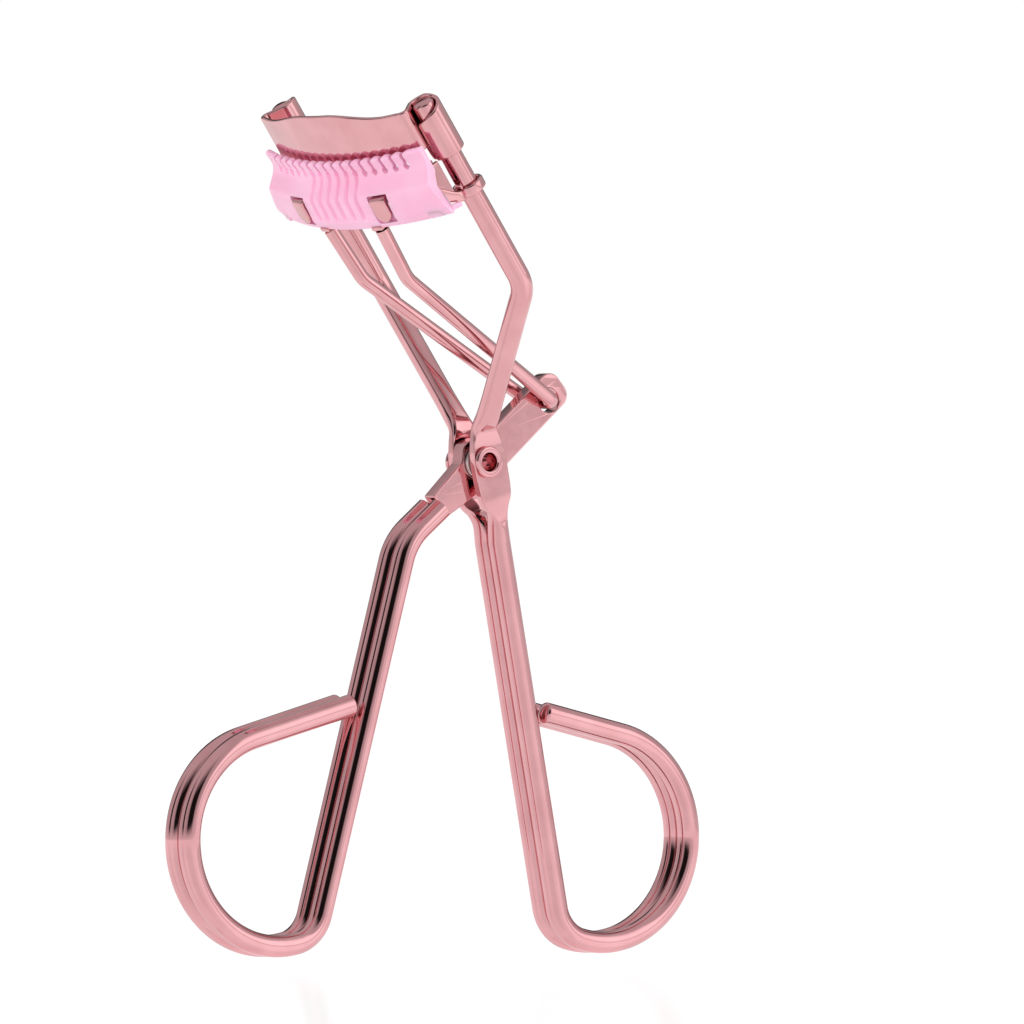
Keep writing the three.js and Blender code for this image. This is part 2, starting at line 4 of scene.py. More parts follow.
import bmesh
import bpy
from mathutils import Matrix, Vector


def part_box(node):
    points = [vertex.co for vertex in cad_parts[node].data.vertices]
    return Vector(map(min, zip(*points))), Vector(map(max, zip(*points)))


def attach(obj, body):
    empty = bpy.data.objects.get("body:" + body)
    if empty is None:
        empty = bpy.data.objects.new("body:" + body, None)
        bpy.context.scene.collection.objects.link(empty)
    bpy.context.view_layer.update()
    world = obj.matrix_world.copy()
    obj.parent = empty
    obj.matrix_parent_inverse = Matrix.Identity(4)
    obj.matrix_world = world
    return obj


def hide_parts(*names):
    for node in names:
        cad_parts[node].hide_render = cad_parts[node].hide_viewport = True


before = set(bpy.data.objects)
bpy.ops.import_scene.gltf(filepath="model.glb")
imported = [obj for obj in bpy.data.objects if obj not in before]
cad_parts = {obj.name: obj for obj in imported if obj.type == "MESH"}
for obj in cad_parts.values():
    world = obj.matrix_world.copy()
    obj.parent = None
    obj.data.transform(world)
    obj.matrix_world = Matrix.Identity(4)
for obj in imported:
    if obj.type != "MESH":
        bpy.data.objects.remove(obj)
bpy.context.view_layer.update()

# ---------------------------------------------------------------- dimensions
# Millimetres about the pivot: x towards the fixed handle, y away from the near side, z up.

MM = 0.001
PIVOT_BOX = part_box("pivot_rivet")
PIVOT = (Vector(PIVOT_BOX[0]) + Vector(PIVOT_BOX[1])) / 2

WIRE_RADIUS = 1.4
WIRE_OFFSET = 1.475
WIRE_SIDES = 32

RING_RADIUS = 13.2
RING_CORNER_RADIUS = 5
RING_HEIGHT = -47
LOOP_END_GAP = 1.5
FIXED_HANDLE = dict(side=1, shaft_top=(2.1, -6.3), lean=10.85, ring_centre=18.6, end_slope=13)
SQUEEZE_HANDLE = dict(side=-1, shaft_top=(11.15, -9.9), lean=15.7, ring_centre=30.8, end_slope=15.3)
SQUEEZE_WIRE_TOP = (-6.1, -5.78)
SQUEEZE_BEND_RADIUS = 8

LEVER_HALF = 1.1
WASHER_FACES = (1.2, 1.65)
WASHER_RADIUS = 2.2
LUG_MIDDLE = 2.325
LUG_HALF = 0.575
FLANGE_FACES = (3.0, 3.6)
FLANGE_RADIUS = 2.0
BARREL_RADIUS = 1.3
RIVET_BORE_RADIUS = 1.0
PIVOT_HOLE_RADIUS = 1.42

POST_LEAN = math.radians(34.3)
POST_HALF_SPACING = 15.5
SLEEVE_FOOT = Vector((-14.5, 0, 38.4))
POST_ABOVE_FOOT = 7.6
POST_BELOW_FOOT = 20
POST_BEND_RADIUS = 4.5

JAW_RADIUS = 48
JAW_CREST = 5.8
JAW_CENTRE = JAW_CREST - JAW_RADIUS
STRIP_THICKNESS = 0.6
STRIP_BOTTOM = 2.3
STRIP_TOP_MIDDLE = 9.5
STRIP_TOP_ENDS = 8.15
CORNER_HALF_WIDTH = 14.2
SLEEVE_RADIUS = 1.82
SLEEVE_STEP = (0.03, 0.25)
SLEEVE_TOP_FRONT = 5.5
SLEEVE_TOP_BACK = 7.8

TRAY_HALF_WIDTH = 15.9
TRAY_WALL = 0.55
TRAY_BOTTOM = -4.5
TRAY_FLOOR = -3.9
TRAY_INNER_RADIUS = 45.25
TRAY_OUTER_RADIUS = 50.05
TRAY_INNER_TOP = -2.5
TRAY_OUTER_TOP = -2.1
END_WALL_TOP = 0.3
POST_RELIEF_RADIUS = 2.4
RING_MIDDLE_RADIUS = 1.83
RING_WALL = 0.54
RING_BOTTOM = -5.85
RING_TOP = -4.45
TAB_AT = 8.7
TAB_HALF_WIDTH = 1.35
TAB_OUTER_RADIUS = 51.85
TAB_BOTTOM = -4.5
TAB_TOP = -1.1
FOOT_BOTTOM = -5.75

PAD_INNER_RADIUS = 45.95
PAD_OUTER_RADIUS = 49.35
PAD_HALF_WIDTH = 15.2
PAD_BOTTOM = -3.75
PAD_SHOULDER = -1.5
PAD_TOP = 0.5

COMB_HALF_WIDTH = 17
COMB_TOP = 3.5
COMB_BOTTOM = -5.5
COMB_STEPS = 520
COMB_SLITS = 16
COMB_GROOVES = 6
SLIT_PITCH = 1.86
SLIT_WIDTH = 0.52
SLIT_DEPTH = 1.9
KEYHOLE_RADIUS = 0.48

LINK_RADIUS = 0.9
LINK_HOLE = Vector((10.65, 0, 7.75))
LINK_HOLE_RADIUS = 1.55
LINK_PLAY = 0.33
LINK_HALF_WIDTH = 2.6
LINK_KNEE = Vector((-13.5, 4.85, 22.8))
LINK_TOP = dict(across=5.6, radius=50.6, height=-5.9)

# ---------------------------------------------------------------- geometry helpers


def jaw_point(x, y, z):
    """A point of the jaw frame (across, forwards, up the posts) in tool millimetres."""
    forwards = Vector((-math.cos(POST_LEAN), 0, -math.sin(POST_LEAN)))
    up = Vector((-math.sin(POST_LEAN), 0, math.cos(POST_LEAN)))
    return SLEEVE_FOOT + Vector((0, x, 0)) + forwards * y + up * z


def rounded_corner(before, corner, after, radius, step=math.radians(4)):
    """The points of an arc that rounds a corner between two straight runs."""
    back = (before - corner).normalized()
    ahead = (after - corner).normalized()
    half = back.angle(ahead) / 2
    if radius <= 0 or half > math.pi / 2 - 1e-3:
        return [corner.copy()]
    reach = radius / math.tan(half)
    middle = corner + (back + ahead).normalized() * (radius / math.sin(half))
    start = corner + back * reach - middle
    turn = math.pi - 2 * half
    count = max(2, math.ceil(turn / step))
    points = []
    for k in range(count + 1):
        angle = turn * k / count
        points.append(middle + start * math.cos(angle) - back * radius * math.sin(angle))
    return points


def rounded_outline(corners, step=math.radians(9)):
    """A closed line of points from corners (x, y, radius)."""
    at = [Vector((x, y)) for x, y, _ in corners]
    points = []
    for k, (_, _, radius) in enumerate(corners):
        points += rounded_corner(at[k - 1], at[k], at[(k + 1) % len(at)], radius, step)
    return points


def arc(centre, radius, start, end, step=math.radians(3)):
    count = max(1, math.ceil(abs(end - start) / step))
    turn = [start + (end - start) * k / count for k in range(count + 1)]
    return [Vector((centre[0] + radius * math.cos(a), centre[1] + radius * math.sin(a))) for a in turn]


def spaced(points, gap):
    """The same line with more points, no further apart than gap."""
    line = [points[0]]
    for a, b in zip(points, points[1:]):
        count = max(1, math.ceil((b - a).length / gap))
        line += [a.lerp(b, k / count) for k in range(1, count + 1)]
    return line


def smooth_stations(stations, per_span):
    """Catmull-Rom values between rows of numbers."""
    rows = []
    last = len(stations) - 1
    for i in range(last):
        p0, p1, p2, p3 = (stations[j] for j in (max(i - 1, 0), i, i + 1, min(i + 2, last)))
        for k in range(per_span):
            t = k / per_span
            rows.append([
                0.5 * (2 * b + (c - a) * t + (2 * a - 5 * b + 4 * c - d) * t ** 2
                       + (3 * b - a - 3 * c + d) * t ** 3)
                for a, b, c, d in zip(p0, p1, p2, p3)
            ])
    rows.append(list(stations[-1]))
    return rows


def mesh_object(name, vertices, faces):
    """An object from millimetre points about the pivot."""
    mesh = bpy.data.meshes.new(name)
    mesh.from_pydata([PIVOT + Vector(v) * MM for v in vertices], [], faces)
    mesh.validate()
    obj = bpy.data.objects.new(name, mesh)
    bpy.context.scene.collection.objects.link(obj)
    tidy_normals(obj)
    return obj


def tidy_normals(obj):
    grid = bmesh.new()
    grid.from_mesh(obj.data)
    bmesh.ops.remove_doubles(grid, verts=grid.verts, dist=1e-7)
    bmesh.ops.recalc_face_normals(grid, faces=grid.faces)
    grid.to_mesh(obj.data)
    grid.free()


def skin(name, rings, closed=False):
    """A closed surface through rings of equally many points; open ends are filled."""
    sides = len(rings[0])
    vertices = [point for ring in rings for point in ring]
    faces = []
    spans = len(rings) if closed else len(rings) - 1
    for i in range(spans):
        here, there = i * sides, (i + 1) % len(rings) * sides
        for k in range(sides):
            n = (k + 1) % sides
            faces.append((here + k, here + n, there + n, there + k))
    if not closed:
        faces.append(tuple(range(sides)))
        faces.append(tuple(range(len(vertices) - sides, len(vertices))))
    return mesh_object(name, vertices, faces)


def section(width, depth, corner, sides=WIRE_SIDES):
    """A rectangle with rounded corners, as pairs; it is a circle when all three sizes are equal."""
    corner = min(corner, width, depth)
    points = []
    quarter = sides // 4
    for turn, (across, up) in enumerate(((1, 1), (-1, 1), (-1, -1), (1, -1))):
        for k in range(quarter):
            angle = math.pi / 2 * (turn + (k + 0.5) / quarter)
            points.append((
                across * (width - corner) + corner * math.cos(angle),
                up * (depth - corner) + corner * math.sin(angle),
            ))
    return points


def wire(name, stations, reference=None, round_start=True, round_end=True):
    """A swept wire. A station is [x, y, z, half width, half depth, corner]; depth lies along reference."""
    centres = [Vector(row[:3]) for row in stations]
    last = len(centres) - 1
    tangents = [(centres[min(i + 1, last)] - centres[max(i - 1, 0)]).normalized() for i in range(last + 1)]
    depth_axis = Vector(reference or tangents[0].orthogonal())
    rings = []
    for i, row in enumerate(stations):
        if reference:
            depth_axis = Vector(reference)
        depth_axis = (depth_axis - tangents[i] * depth_axis.dot(tangents[i])).normalized()
        width_axis = depth_axis.cross(tangents[i])
        outline = section(*row[3:6])
        rings.append([centres[i] + width_axis * u + depth_axis * v for u, v in outline])
    if round_start:
        rings = end_dome(rings[0], centres[0], -tangents[0], stations[0][3])[::-1] + rings
    if round_end:
        rings = rings + end_dome(rings[-1], centres[-1], tangents[-1], stations[-1][3])
    return skin(name, rings)


def end_dome(ring, centre, outwards, radius, flatness=0.45):
    """Rings that close a wire's end with a soft dome."""
    rings = []
    for angle in (18, 36, 54, 70, 82):
        shrink, rise = math.cos(math.radians(angle)), math.sin(math.radians(angle)) * radius * flatness
        rings.append([centre + (point - centre) * shrink + outwards * rise for point in ring])
    return rings


def turned(name, profile, segments=64):
    """A closed profile of (radius, y) turned about the pivot axis."""
    rings = []
    for k in range(segments):
        angle = 2 * math.pi * k / segments
        rings.append([Vector((r * math.cos(angle), y, r * math.sin(angle))) for r, y in profile])
    return skin(name, rings, closed=True)


def strip(name, line, heights, thickness, rim_steps=7):
    """Bent sheet: line is its plan, heights are (bottom, top) at each point, and its rims are rounded."""
    rings = []
    last = len(line) - 1
    half = thickness / 2
    for i, (point, (bottom, top)) in enumerate(zip(line, heights)):
        along = (line[min(i + 1, last)] - line[max(i - 1, 0)]).normalized()
        square = Vector((-along.y, along.x))
        ring = []
        for level, sign in ((top - half, 1), (bottom + half, -1)):
            for k in range(rim_steps + 1):
                angle = math.pi * k / rim_steps
                shift = sign * half * math.cos(angle)
                rise = sign * half * math.sin(angle)
                ring.append(jaw_point(*(point + square * shift), level + rise))
        rings.append(ring)
    return skin(name, rings)


def flat_plate(name, outline, holes, low, high, to_tool, edge=0.12):
    """A plate with softened edges: outlines are 2D points, low and high its two faces."""
    curve = bpy.data.curves.new(name, "CURVE")
    curve.dimensions = "2D"
    curve.fill_mode = "BOTH"
    curve.bevel_depth = edge
    curve.bevel_resolution = 3
    curve.offset = -edge
    curve.extrude = (high - low) / 2 - edge
    for points in [outline, *holes]:
        spline = curve.splines.new("POLY")
        spline.points.add(len(points) - 1)
        for target, point in zip(spline.points, points):
            target.co = (point[0], point[1], 0, 1)
        spline.use_cyclic_u = True
    source = bpy.data.objects.new(name, curve)
    bpy.context.scene.collection.objects.link(source)
    mesh = bpy.data.meshes.new_from_object(source.evaluated_get(bpy.context.evaluated_depsgraph_get()))
    vertices = [to_tool(v.co.x, v.co.y, (low + high) / 2 + v.co.z) for v in mesh.vertices]
    faces = [tuple(p.vertices) for p in mesh.polygons]
    bpy.data.objects.remove(source)
    bpy.data.meshes.remove(mesh)
    return mesh_object(name, vertices, faces)


def circle(x, y, radius, count=48):
    angles = [2 * math.pi * k / count for k in range(count)]
    return [(x + radius * math.cos(a), y + radius * math.sin(a)) for a in angles]


def curved_bar(name, outline, half_width, step=0.5):
    """A section of (radius, height) points swept along the jaw's curve."""
    reach = math.asin(half_width / JAW_RADIUS)
    count = math.ceil(2 * half_width / step)
    rings = []
    for k in range(count + 1):
        angle = -reach + 2 * reach * k / count
        rings.append([
            jaw_point(r * math.sin(angle), JAW_CENTRE + r * math.cos(angle), z) for r, z in outline
        ])
    return skin(name, rings)


def curved_block(name, across, half_width, inner, outer, bottom, top):
    """A block that straddles the jaw's curve."""
    angle = math.asin(across / ((inner + outer) / 2))
    sideways = Vector((math.cos(angle), -math.sin(angle)))
    outwards = Vector((math.sin(angle), math.cos(angle)))
    corners = []
    for u, r in ((-half_width, inner), (half_width, inner), (half_width, outer), (-half_width, outer)):
        corners.append(Vector((0, JAW_CENTRE)) + sideways * u + outwards * r)
    return skin(name, [[jaw_point(*c, z) for c in corners] for z in (bottom, top)])


def post_cylinder(side, radius, bottom, top):
    ring = circle(side * POST_HALF_SPACING, 0, radius)
    return skin("cutter", [[jaw_point(x, y, z) for x, y in ring] for z in (bottom, top)])


def pivot_pin(radius):
    ring = circle(0, 0, radius)
    return skin("cutter", [[Vector((u, y, v)) for u, v in ring] for y in (-6, 6)])


def joined(name, objects):
    """One object of several closed pieces."""
    mesh = bpy.data.meshes.new(name)
    whole = bmesh.new()
    for obj in objects:
        whole.from_mesh(obj.data)
        bpy.data.objects.remove(obj)
    whole.to_mesh(mesh)
    whole.free()
    obj = bpy.data.objects.new(name, mesh)
    bpy.context.scene.collection.objects.link(obj)
    return obj


def carved(obj, cutters):
    """obj with the cutters taken out of it, as a plain mesh."""
    tool = joined("cutters", cutters)
    modifier = obj.modifiers.new("carve", "BOOLEAN")
    modifier.operation = "DIFFERENCE"
    modifier.solver = "EXACT"
    modifier.use_self = True
    modifier.object = tool
    apply_modifiers(obj)
    bpy.data.objects.remove(tool)
    return obj


def apply_modifiers(obj):
    graph = bpy.context.evaluated_depsgraph_get()
    graph.update()
    mesh = bpy.data.meshes.new_from_object(obj.evaluated_get(graph))
    obj.modifiers.clear()
    obj.data = mesh


def soften(obj, width, angle=35, segments=3):
    """Rounds the edges sharper than angle."""
    modifier = obj.modifiers.new("soften", "BEVEL")
    modifier.width = width * MM
    modifier.segments = segments
    modifier.limit_method = "ANGLE"
    modifier.angle_limit = math.radians(angle)
    modifier.harden_normals = False
    apply_modifiers(obj)
    return obj


def finish_piece(obj, body, material, nodes, smooth_angle=40):
    obj.data.materials.clear()
    obj.data.materials.append(material)
    obj.data.shade_smooth()
    obj.data.set_sharp_from_angle(angle=math.radians(smooth_angle))
    even = obj.modifiers.new("even_normals", "WEIGHTED_NORMAL")
    even.keep_sharp = True
    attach(obj, body)
    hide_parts(*nodes)
    return obj


# ---------------------------------------------------------------- materials


def new_material(name):
    material = bpy.data.materials.new(name)
    material.use_nodes = True
    nodes = material.node_tree.nodes
    return material, nodes, material.node_tree.links, nodes["Principled BSDF"]


def noise(nodes, links, scale, detail):
    where = nodes.new("ShaderNodeTexCoord")
    texture = nodes.new("ShaderNodeTexNoise")
    texture.inputs["Scale"].default_value = scale
    texture.inputs["Detail"].default_value = detail
    links.new(where.outputs["Object"], texture.inputs["Vector"])
    return texture.outputs["Fac"]


def varied(nodes, links, source, low, high):
    """source, from 0.3 to 0.7, stretched to run from low to high."""
    stretch = nodes.new("ShaderNodeMapRange")
    stretch.inputs["From Min"].default_value = 0.3
    stretch.inputs["From Max"].default_value = 0.7
    stretch.inputs["To Min"].default_value = low
    stretch.inputs["To Max"].default_value = high
    links.new(source, stretch.inputs["Value"])
    return stretch.outputs["Result"]


def two_tone(nodes, links, source, first, second):
    ramp = nodes.new("ShaderNodeValToRGB")
    ramp.color_ramp.elements[0].position = 0.32
    ramp.color_ramp.elements[0].color = (*first, 1)
    ramp.color_ramp.elements[1].position = 0.68
    ramp.color_ramp.elements[1].color = (*second, 1)
    links.new(source, ramp.inputs["Fac"])
    return ramp.outputs["Color"]


def add_bump(nodes, links, shader, source, strength, distance):
    bump = nodes.new("ShaderNodeBump")
    bump.inputs["Strength"].default_value = strength
    bump.inputs["Distance"].default_value = distance
    links.new(source, bump.inputs["Height"])
    links.new(bump.outputs["Normal"], shader.inputs["Normal"])


def polished_metal(name, dark, light, roughness):
    """Mirror-polished plating with faint waviness and rubbed patches."""
    material, nodes, links, shader = new_material(name)
    shader.inputs["Metallic"].default_value = 1
    patches = noise(nodes, links, 260, 3)
    links.new(two_tone(nodes, links, patches, dark, light), shader.inputs["Base Color"])
    links.new(varied(nodes, links, noise(nodes, links, 900, 4), *roughness), shader.inputs["Roughness"])
    add_bump(nodes, links, shader, noise(nodes, links, 170, 1), 0.06, 0.0004)
    return material


def moulded_plastic(name, dark, light):
    """Satin pastel plastic that lets some light through."""
    material, nodes, links, shader = new_material(name)
    patches = noise(nodes, links, 130, 3)
    links.new(two_tone(nodes, links, patches, dark, light), shader.inputs["Base Color"])
    links.new(varied(nodes, links, noise(nodes, links, 700, 3), 0.3, 0.42), shader.inputs["Roughness"])
    shader.inputs["Subsurface Weight"].default_value = 0.35
    shader.inputs["Subsurface Radius"].default_value = (1.0, 0.45, 0.7)
    shader.inputs["Subsurface Scale"].default_value = 0.0012
    shader.inputs["Specular IOR Level"].default_value = 0.45
    add_bump(nodes, links, shader, noise(nodes, links, 2600, 2), 0.05, 0.00004)
    return material


def soft_silicone(name, dark, light):
    """Matt silicone rubber with a fine bloom."""
    material, nodes, links, shader = new_material(name)
    links.new(two_tone(nodes, links, noise(nodes, links, 300, 4), dark, light), shader.inputs["Base Color"])
    links.new(varied(nodes, links, noise(nodes, links, 1500, 3), 0.5, 0.68), shader.inputs["Roughness"])
    shader.inputs["Subsurface Weight"].default_value = 0.25
    shader.inputs["Subsurface Radius"].default_value = (1.0, 0.4, 0.5)
    shader.inputs["Subsurface Scale"].default_value = 0.001
    add_bump(nodes, links, shader, noise(nodes, links, 3200, 3), 0.12, 0.00005)
    return material


ROSE_GOLD = polished_metal("rose_gold", (0.70, 0.35, 0.37), (0.76, 0.40, 0.42), (0.05, 0.10))
WASHER_STEEL = polished_metal("washer_steel", (0.55, 0.52, 0.5), (0.66, 0.63, 0.61), (0.22, 0.36))
COMB_PINK = moulded_plastic("comb_pink", (0.93, 0.46, 0.64), (0.96, 0.53, 0.71))
PAD_PINK = soft_silicone("pad_pink", (0.78, 0.20, 0.36), (0.86, 0.26, 0.42))

# ---------------------------------------------------------------- handles and frame


def handle_line(side, shaft_top, lean, ring_centre, end_slope):
    """One handle's middle line (x, z), from its loop's free end up to the top of its shaft."""
    lean, slope = math.radians(lean), math.radians(end_slope)
    top = Vector(shaft_top)
    down = Vector((math.sin(lean), -math.cos(lean)))
    out = Vector((math.cos(lean), math.sin(lean)))
    ring = Vector((ring_centre, RING_HEIGHT))
    corner_shift = (ring - top).dot(out) - RING_CORNER_RADIUS
    corner_drop = math.sqrt((RING_RADIUS - RING_CORNER_RADIUS) ** 2 - corner_shift ** 2)
    corner = ring - out * corner_shift + down * corner_drop

    to_corner = corner - ring
    join_angle = math.atan2(to_corner.y, to_corner.x)
    shaft_angle = math.atan2(-out.y, -out.x)
    if shaft_angle > 0:
        shaft_angle -= 2 * math.pi
    end_angle = math.pi / 2 - slope
    leave = Vector((-math.cos(slope), math.sin(slope)))
    tangent = ring + Vector((math.cos(end_angle), math.sin(end_angle))) * RING_RADIUS
    clear = (tangent - top).dot(out) - WIRE_RADIUS - LOOP_END_GAP
    end = tangent - leave * (clear / leave.dot(out))
    line = [end]
    line += arc(ring, RING_RADIUS, end_angle, join_angle)
    line += arc(corner, RING_CORNER_RADIUS, join_angle, shaft_angle)[1:]
    line.append(top)
    return [Vector((side * p.x, p.y)) for p in line]


def round_rows(points, radius):
    return [[*p, radius, radius, radius] for p in points]


def frame_wire(name, side):
    """Loop, shaft, pressed lug and post in one wire, drilled for the rivet."""
    handle = [Vector((x, side * WIRE_OFFSET, z)) for x, z in handle_line(**FIXED_HANDLE)]
    shaft = spaced(handle, 2.0)[:-2]
    foot = jaw_point(side * POST_HALF_SPACING, 0, 0)
    up = jaw_point(0, 0, 1) - jaw_point(0, 0, 0)
    bend, top = foot - up * POST_BELOW_FOOT, foot + up * (POST_ABOVE_FOOT - 0.5)
    root = Vector((-0.05, side * 2.15, 3.75))
    rise = (bend - root).normalized()
    start_post = root + rise * 5.2
    post = spaced([start_post, *rounded_corner(start_post, bend, top, POST_BEND_RADIUS), top], 2.0)
    lug_y = side * LUG_MIDDLE
    lug = smooth_stations([
        [*shaft[-1], WIRE_RADIUS, WIRE_RADIUS, WIRE_RADIUS],
        [2.5, side * 1.6, -7.8, 1.25, 1.3, 1.2],
        [2.1, side * 2.08, -6.3, 1.35, 0.8, 0.55],
        [1.62, lug_y, -4.9, 2.1, LUG_HALF, 0.22],
        [1.3, lug_y, -3.4, 2.38, LUG_HALF, 0.2],
        [0.85, lug_y, -1.4, 2.46, LUG_HALF, 0.2],
        [0.45, lug_y, 0.6, 2.46, LUG_HALF, 0.2],
        [0.1, lug_y, 2.6, 2.12, LUG_HALF, 0.25],
        [-0.2, side * 2.45, 4.2, 1.72, 0.8, 0.6],
        [*(root + rise * 2.6), 1.48, 1.25, 1.15],
        [*start_post, WIRE_RADIUS, WIRE_RADIUS, WIRE_RADIUS],
    ], 6)
    rows = round_rows(shaft[:-1], WIRE_RADIUS) + lug + round_rows(post[1:], WIRE_RADIUS)
    obj = wire(name, rows, reference=(0, 1, 0))
    carved(obj, [pivot_pin(PIVOT_HOLE_RADIUS)])
    return finish_piece(obj, "fixed_frame", ROSE_GOLD, [name])


def lever_wire(name, side):
    line = [Vector((x, side * WIRE_OFFSET, z)) for x, z in handle_line(**SQUEEZE_HANDLE)]
    bend = line.pop()
    top = Vector((SQUEEZE_WIRE_TOP[0], side * WIRE_OFFSET, SQUEEZE_WIRE_TOP[1]))
    line += rounded_corner(line[-1], bend, top, SQUEEZE_BEND_RADIUS) + [top]
    obj = wire(name, round_rows(spaced(line, 2.0), WIRE_RADIUS), reference=(0, 1, 0), round_end=False)
    return finish_piece(obj, "squeeze_lever", ROSE_GOLD, [name])


def lever_plate():
    outline = rounded_outline([
        (-6.95, -4.3, 0.3), (-2.6, -0.05, 0.8), (-2.35, 2.3, 1.4), (-0.2, 3.05, 1.5), (1.0, 3.0, 1.5),
        (11.04, 11.84, 1.7), (14.17, 8.24, 1.6), (0.57, -3.57, 3.0), (-4.75, -6.85, 0.3),
    ])
    holes = [circle(0, 0, PIVOT_HOLE_RADIUS), circle(LINK_HOLE.x, LINK_HOLE.z, LINK_HOLE_RADIUS)]
    obj = flat_plate("lever_plate_polished", outline, holes, -LEVER_HALF, LEVER_HALF,
                     lambda x, y, z: Vector((x, z, y)), edge=0.22)
    return finish_piece(obj, "squeeze_lever", ROSE_GOLD, ["lever_plate"], 14)


def pivot_rivet():
    """A hollow rivet with a rolled flange each side."""
    inner, outer = FLANGE_FACES
    middle, roll = (inner + outer) / 2, (outer - inner) / 2
    half = [(RIVET_BORE_RADIUS, 0)]
    half += [(RIVET_BORE_RADIUS, inner - 0.2)]
    inner_roll = (RIVET_BORE_RADIUS + roll + 0.12, middle)
    half += [tuple(p) for p in arc(inner_roll, roll, math.pi, math.pi / 2, 0.25)]
    half += [tuple(p) for p in arc((FLANGE_RADIUS - roll, middle), roll, math.pi / 2, -math.pi / 2, 0.25)]
    half += [(BARREL_RADIUS, inner), (BARREL_RADIUS, 0)]
    other = [(r, -y) for r, y in half[1:-1]][::-1]
    obj = turned("rivet_rolled", half + other)
    return finish_piece(obj, "fixed_frame", ROSE_GOLD, ["pivot_rivet"], 50)


def washer(name, side):
    low, high = WASHER_FACES
    outline = rounded_outline([
        (PIVOT_HOLE_RADIUS, low, 0.1), (WASHER_RADIUS, low, 0.1),
        (WASHER_RADIUS, high, 0.1), (PIVOT_HOLE_RADIUS, high, 0.1),
    ], 0.5)
    obj = turned(name + "_turned", [(p.x, side * p.y) for p in outline])
    return finish_piece(obj, "fixed_frame", WASHER_STEEL, [name])


# ---------------------------------------------------------------- upper jaw


def mirrored_line(right):
    return [Vector((-p.x, p.y)) for p in reversed(right)]


def upper_jaw():
    """The bent strip: curved face, turned back at each end and wrapped round the posts."""
    reach = math.asin(CORNER_HALF_WIDTH / JAW_RADIUS)
    face = arc((0, JAW_CENTRE), JAW_RADIUS, math.pi / 2 + reach, math.pi / 2 - reach, 0.02)
    join_angle = math.radians(158)
    corner = Vector((POST_HALF_SPACING + 0.35, 3.2))
    post = Vector((POST_HALF_SPACING, 0))
    wrap = arc(post, SLEEVE_RADIUS, join_angle, join_angle + math.radians(290), 0.1)
    turn = rounded_corner(face[-1], corner, wrap[0], 0.8, 0.15)
    right = spaced([*turn, wrap[0]], 0.25)[:-1] + wrap

    def levels(point, wrapped):
        """(bottom, top) of the strip; wrapped runs from 0 at the face's end to 1 at the free end."""
        if wrapped <= 0:
            fall = smooth_step(2.5, 13, abs(point.x))
            return STRIP_BOTTOM, STRIP_TOP_MIDDLE + (STRIP_TOP_ENDS - STRIP_TOP_MIDDLE) * fall
        from_post = (point - post).length - SLEEVE_RADIUS
        bottom = STRIP_BOTTOM * smooth_step(*SLEEVE_STEP, from_post)
        lean = min(1, max(0, (wrapped - 0.5) / 0.5))
        top = STRIP_TOP_ENDS + (SLEEVE_TOP_BACK - STRIP_TOP_ENDS) * min(1, wrapped / 0.4)
        return bottom, top + (SLEEVE_TOP_FRONT - SLEEVE_TOP_BACK) * lean

    count = len(right)
    right_levels = [levels(p, (k + 1) / count) for k, p in enumerate(right)]
    line = mirrored_line(right) + face + right
    heights = right_levels[::-1] + [levels(p, 0) for p in face] + right_levels
    obj = strip("upper_jaw_strip", line, heights, STRIP_THICKNESS)
    return finish_piece(obj, "fixed_frame", ROSE_GOLD, ["upper_jaw"], 60)


# ---------------------------------------------------------------- lower jaw, pad and comb


def tray_end(side):
    """The domed end wall and the arm and ring that guide one end of the tray."""
    dome = rounded_outline([
        (0.2, TRAY_BOTTOM, 0), (4.9, TRAY_BOTTOM, 0), (4.9, -2.2, 0.6), (3.95, END_WALL_TOP, 1.3),
        (1.3, END_WALL_TOP, 1.3), (0.2, -2.0, 0),
    ])
    faces = sorted((side * (TRAY_HALF_WIDTH - TRAY_WALL), side * TRAY_HALF_WIDTH))
    wall = flat_plate("wall", dome, [], *faces, lambda y, z, x: jaw_point(x, y, z), edge=0.14)
    carved(wall, [post_cylinder(side, POST_RELIEF_RADIUS, -7, 4)])

    corners = [Vector(p) for p in ((14.9, 5.35), (16.15, 4.9), (16.55, 2.3), (16.35, 1.6))]
    plan = [corners[0], *rounded_corner(*corners[:3], 1.1, 0.2), *rounded_corner(*corners[1:], 0.5, 0.3)]
    ring = arc((POST_HALF_SPACING, 0), RING_MIDDLE_RADIUS, math.radians(62), math.radians(-275), 0.1)
    line = spaced(plan + ring, 0.3)
    heights = []
    for point in line:
        fall = min(1, max(0, (5.2 - point.y) / 3.4))
        ease = fall * fall * (3 - 2 * fall)
        heights.append((
            TRAY_BOTTOM + (RING_BOTTOM - TRAY_BOTTOM) * ease,
            TRAY_OUTER_TOP + (RING_TOP - TRAY_OUTER_TOP) * ease,
        ))
    line = [Vector((side * p.x, p.y)) for p in line]
    arm = strip("arm", line, heights, RING_WALL)
    return [wall, arm]


